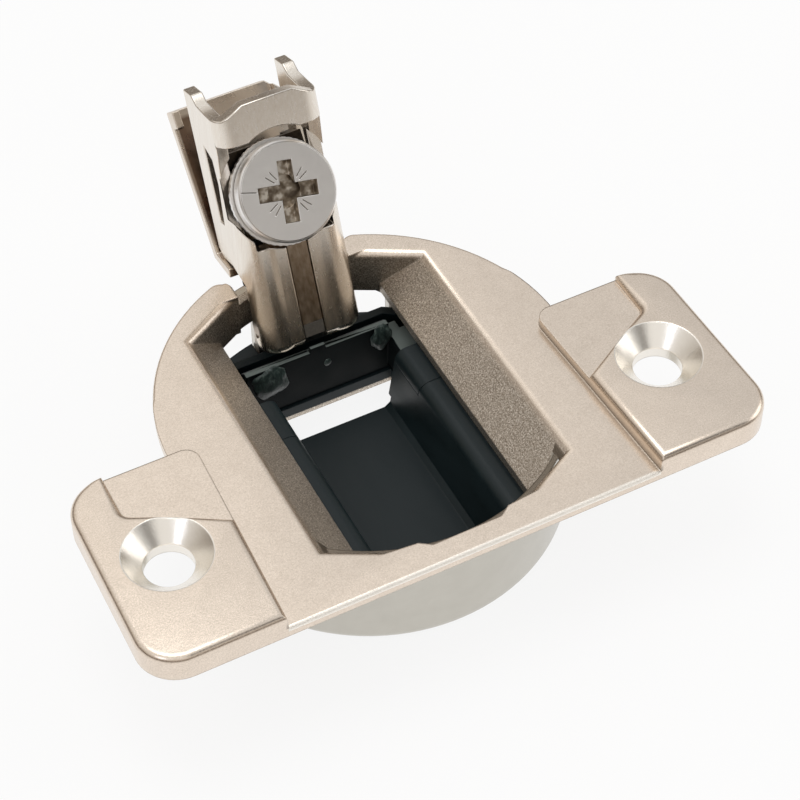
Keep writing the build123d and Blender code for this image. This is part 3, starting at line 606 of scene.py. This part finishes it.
def knurl():
    """Ring of fine teeth rolled on the screw's base, just under its head."""
    inputs = {"Teeth": ("NodeSocketInt", 52), "Reach": ("NodeSocketFloat", 4.56 * MM),
              "Tooth": ("NodeSocketVector", (0.14 * MM, 0.26 * MM, 0.46 * MM))}
    tree = bpy.data.node_groups.new("knurl", "GeometryNodeTree")
    tree.interface.new_socket("Geometry", in_out="OUTPUT", socket_type="NodeSocketGeometry")
    sockets = {name: tree.interface.new_socket(name, in_out="INPUT", socket_type=kind).identifier
               for name, (kind, _) in inputs.items()}
    given = add(tree, "NodeGroupInput").outputs
    circle = add(tree, "GeometryNodeMeshCircle", {"Vertices": given["Teeth"],
                                                  "Radius": given["Reach"]})
    tooth = add(tree, "GeometryNodeMeshCube", {"Size": given["Tooth"]})
    outwards = add(tree, "FunctionNodeAlignRotationToVector",
                   {"Vector": add(tree, "GeometryNodeInputPosition")}, axis="X")
    teeth = add(tree, "GeometryNodeInstanceOnPoints", {"Points": circle, "Instance": tooth,
                                                       "Rotation": outwards})
    solid = add(tree, "GeometryNodeRealizeInstances", {"Geometry": teeth})
    dressed = add(tree, "GeometryNodeSetMaterial", {"Geometry": solid, "Material": SCREW_STEEL})
    add(tree, "NodeGroupOutput", {"Geometry": dressed})
    piece = bpy.data.objects.new("knurl", bpy.data.meshes.new("knurl"))
    bpy.context.collection.objects.link(piece)
    ring = piece.modifiers.new("teeth", "NODES")
    ring.node_group = tree
    for name, (_, value) in inputs.items():
        ring[sockets[name]] = value
    settled = piece.evaluated_get(bpy.context.evaluated_depsgraph_get())
    shape = bpy.data.meshes.new_from_object(settled)
    under_head = (Matrix.Translation((0, 1.95 * MM, 0))
                  @ Matrix.Rotation(math.radians(90), 4, "X"))
    shape.transform(Matrix.Translation(CAM_FACE) @ Matrix.Rotation(-CAM_LEAN, 4, "X") @ under_head)
    piece.modifiers.clear()
    piece.data = shape
    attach(piece, "cam")


def smear(name, centre, half_size, seed):
    """Lump of grease on the slider's front, in millimetres, drawn out into uneven ridges."""
    work = bmesh.new()
    bmesh.ops.create_icosphere(work, subdivisions=4, radius=1.0)
    for vert in work.verts:
        way = vert.co.copy()
        lump = (1 + 0.26 * noise.noise(way * 1.5 + Vector((seed, 0, 0)))
                + 0.10 * noise.noise(way * 3.6 + Vector((0, seed, 0))))
        vert.co = Vector([(c + w * s * lump) * MM for c, w, s in zip(centre, way, half_size)])
    mesh = bpy.data.meshes.new(name)
    work.to_mesh(mesh)
    work.free()
    mesh.shade_smooth()
    mesh.materials.append(GREASE)
    piece = bpy.data.objects.new(name, mesh)
    bpy.context.collection.objects.link(piece)
    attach(piece, "slider")


knurl()
smear("grease_left", (-5.0, 9.38, -5.4), (1.75, 0.40, 1.75), 3.0)
smear("grease_right", (5.95, 9.42, -5.0), (0.95, 0.32, 1.45), 8.0)
smear("grease_spot", (0.6, 9.34, -5.55), (0.34, 0.08, 0.40), 5.0)


# ------------------------------------------------------------------ stage
def floor():
    """A pale floor under the cup. It shows white and keeps the part's soft shadow. For the light
    it throws back, it fades to a warm grey away from the part."""
    material, tree = new_material("pale_floor")
    ray = add(tree, "ShaderNodeLightPath").outputs
    seen = add(tree, MATH, {0: ray["Is Camera Ray"], 1: ray["Is Glossy Ray"]}, operation="MAXIMUM")
    seen = add(tree, MATH, {0: seen, 1: ray["Is Transmission Ray"]}, operation="MAXIMUM")
    share = add(tree, MATH, {0: seen, 1: 0.85}, operation="MULTIPLY")
    x, y, _ = axes(tree)
    away = add(tree, RANGE, {"Value": span(tree, x, y), "From Max": 0.5})
    fading = add(tree, RAMP, {"Fac": away},
                 stops=((0.12, "#FFFFFF"), (0.40, "#E2DDD7"), (1.0, "#9A9086")))
    shown = add(tree, MIX, {0: ray["Is Camera Ray"], 6: fading, 7: "#FFFFFF"}, data_type="RGBA")
    glow = add(tree, "ShaderNodeEmission", {"Color": shown, "Strength": 1.0})
    matt = add(tree, "ShaderNodeBsdfDiffuse", {"Color": "#F4F4F4"})
    add(tree, OUTPUT, {"Surface": add(tree, "ShaderNodeMixShader", {0: share, 1: matt, 2: glow})})
    reach, low = 3.0, cad_box[0][2] - 0.02 * MM
    mesh = bpy.data.meshes.new("floor")
    mesh.from_pydata([(-reach, -reach, low), (reach, -reach, low), (reach, reach, low),
                      (-reach, reach, low)], [], [(0, 1, 2, 3)])
    mesh.materials.append(material)
    plane = bpy.data.objects.new("floor", mesh)
    bpy.context.collection.objects.link(plane)


def studio():
    """Pale room: white where it is seen. The light it gives is dim low down and bright overhead,
    a little cooler to one side, with the dark gap that the screw's satin face looks into."""
    world = bpy.data.worlds.new("studio")
    bpy.context.scene.world = world
    world.use_nodes = True
    tree = world.node_tree
    tree.nodes.clear()
    place = add(tree, PLACE).outputs["Generated"]
    way = add(tree, SPLIT, {"Vector": place}).outputs
    height = add(tree, RAMP, {"Fac": way["Z"]},
                 stops=((0.0, "#5A5048"), (0.14, "#7E746A"), (0.28, "#AEA59A"), (0.43, "#E4DFD9"),
                        (0.66, "#FDFCFA")))
    flank = add(tree, RAMP, {"Fac": add(tree, RANGE, {"Value": way["X"], "From Min": -1.0})},
                stops=((0.0, "#E6E4E2"), (0.575, "#FFFFFF"), (0.725, "#D9DBDE"), (1.0, "#F4F5F6")))
    sky = add(tree, MIX, {0: 1.0, 6: height, 7: flank}, data_type="RGBA", blend_type="MULTIPLY")
    towards_gap = add(tree, "ShaderNodeVectorMath", {0: place, 1: (0.302, -0.643, 0.704)},
                      operation="DOT_PRODUCT")
    gap = add(tree, RANGE, {"Value": towards_gap, "From Min": 0.955, "From Max": 0.99})
    sky = add(tree, MIX, {0: gap, 6: sky, 7: "#332C25"}, data_type="RGBA")
    soft = add(tree, "ShaderNodeBackground", {"Color": sky, "Strength": 1.0})
    white = add(tree, "ShaderNodeBackground", {"Color": "#FFFFFF", "Strength": 1.0})
    seen = add(tree, "ShaderNodeLightPath").outputs["Is Camera Ray"]
    shown = add(tree, "ShaderNodeMixShader", {0: seen, 1: soft, 2: white})
    add(tree, "ShaderNodeOutputWorld", {"Surface": shown})


def lamp(name, place, size, power, colour="#FFFFFF"):
    """A soft round lamp, turned to the cup."""
    light = bpy.data.lights.new(name, "AREA")
    light.shape = "DISK"
    light.size = size
    light.energy = power
    light.color = paint(colour)[:3]
    stand = bpy.data.objects.new(name, light)
    stand.location = place
    stand.rotation_euler = (-Vector(place)).to_track_quat("-Z", "Y").to_euler()
    bpy.context.collection.objects.link(stand)


def camera():
    """Long lens from the front left, well above."""
    lens = bpy.data.cameras.new("camera")
    lens.lens = 108.0
    lens.sensor_width = 36.0
    lens.clip_start = 0.005
    lens.clip_end = 20.0
    stand = bpy.data.objects.new("camera", lens)
    right = Vector((0.88692839, -0.46186668, -0.00609946))
    down = Vector((-0.35173117, -0.66675666, -0.65705459))
    ahead = Vector((0.29940477, 0.58490574, -0.75381832))
    turn = Matrix((right, -down, -ahead)).transposed().to_4x4()
    stand.matrix_world = Matrix.Translation(Vector((-58.3587, -119.7603, 151.9106)) * MM) @ turn
    bpy.context.collection.objects.link(stand)
    bpy.context.scene.camera = stand


floor()
studio()
lamp("key", (-0.02, 0.08, 0.49), 0.28, 0.42)
lamp("window", (-0.34, -0.19, 0.30), 0.16, 0.12, "#E6EDFF")
lamp("side", (0.42, -0.12, 0.18), 0.35, 0.34)
camera()
bpy.context.scene.view_settings.view_transform = "Standard"
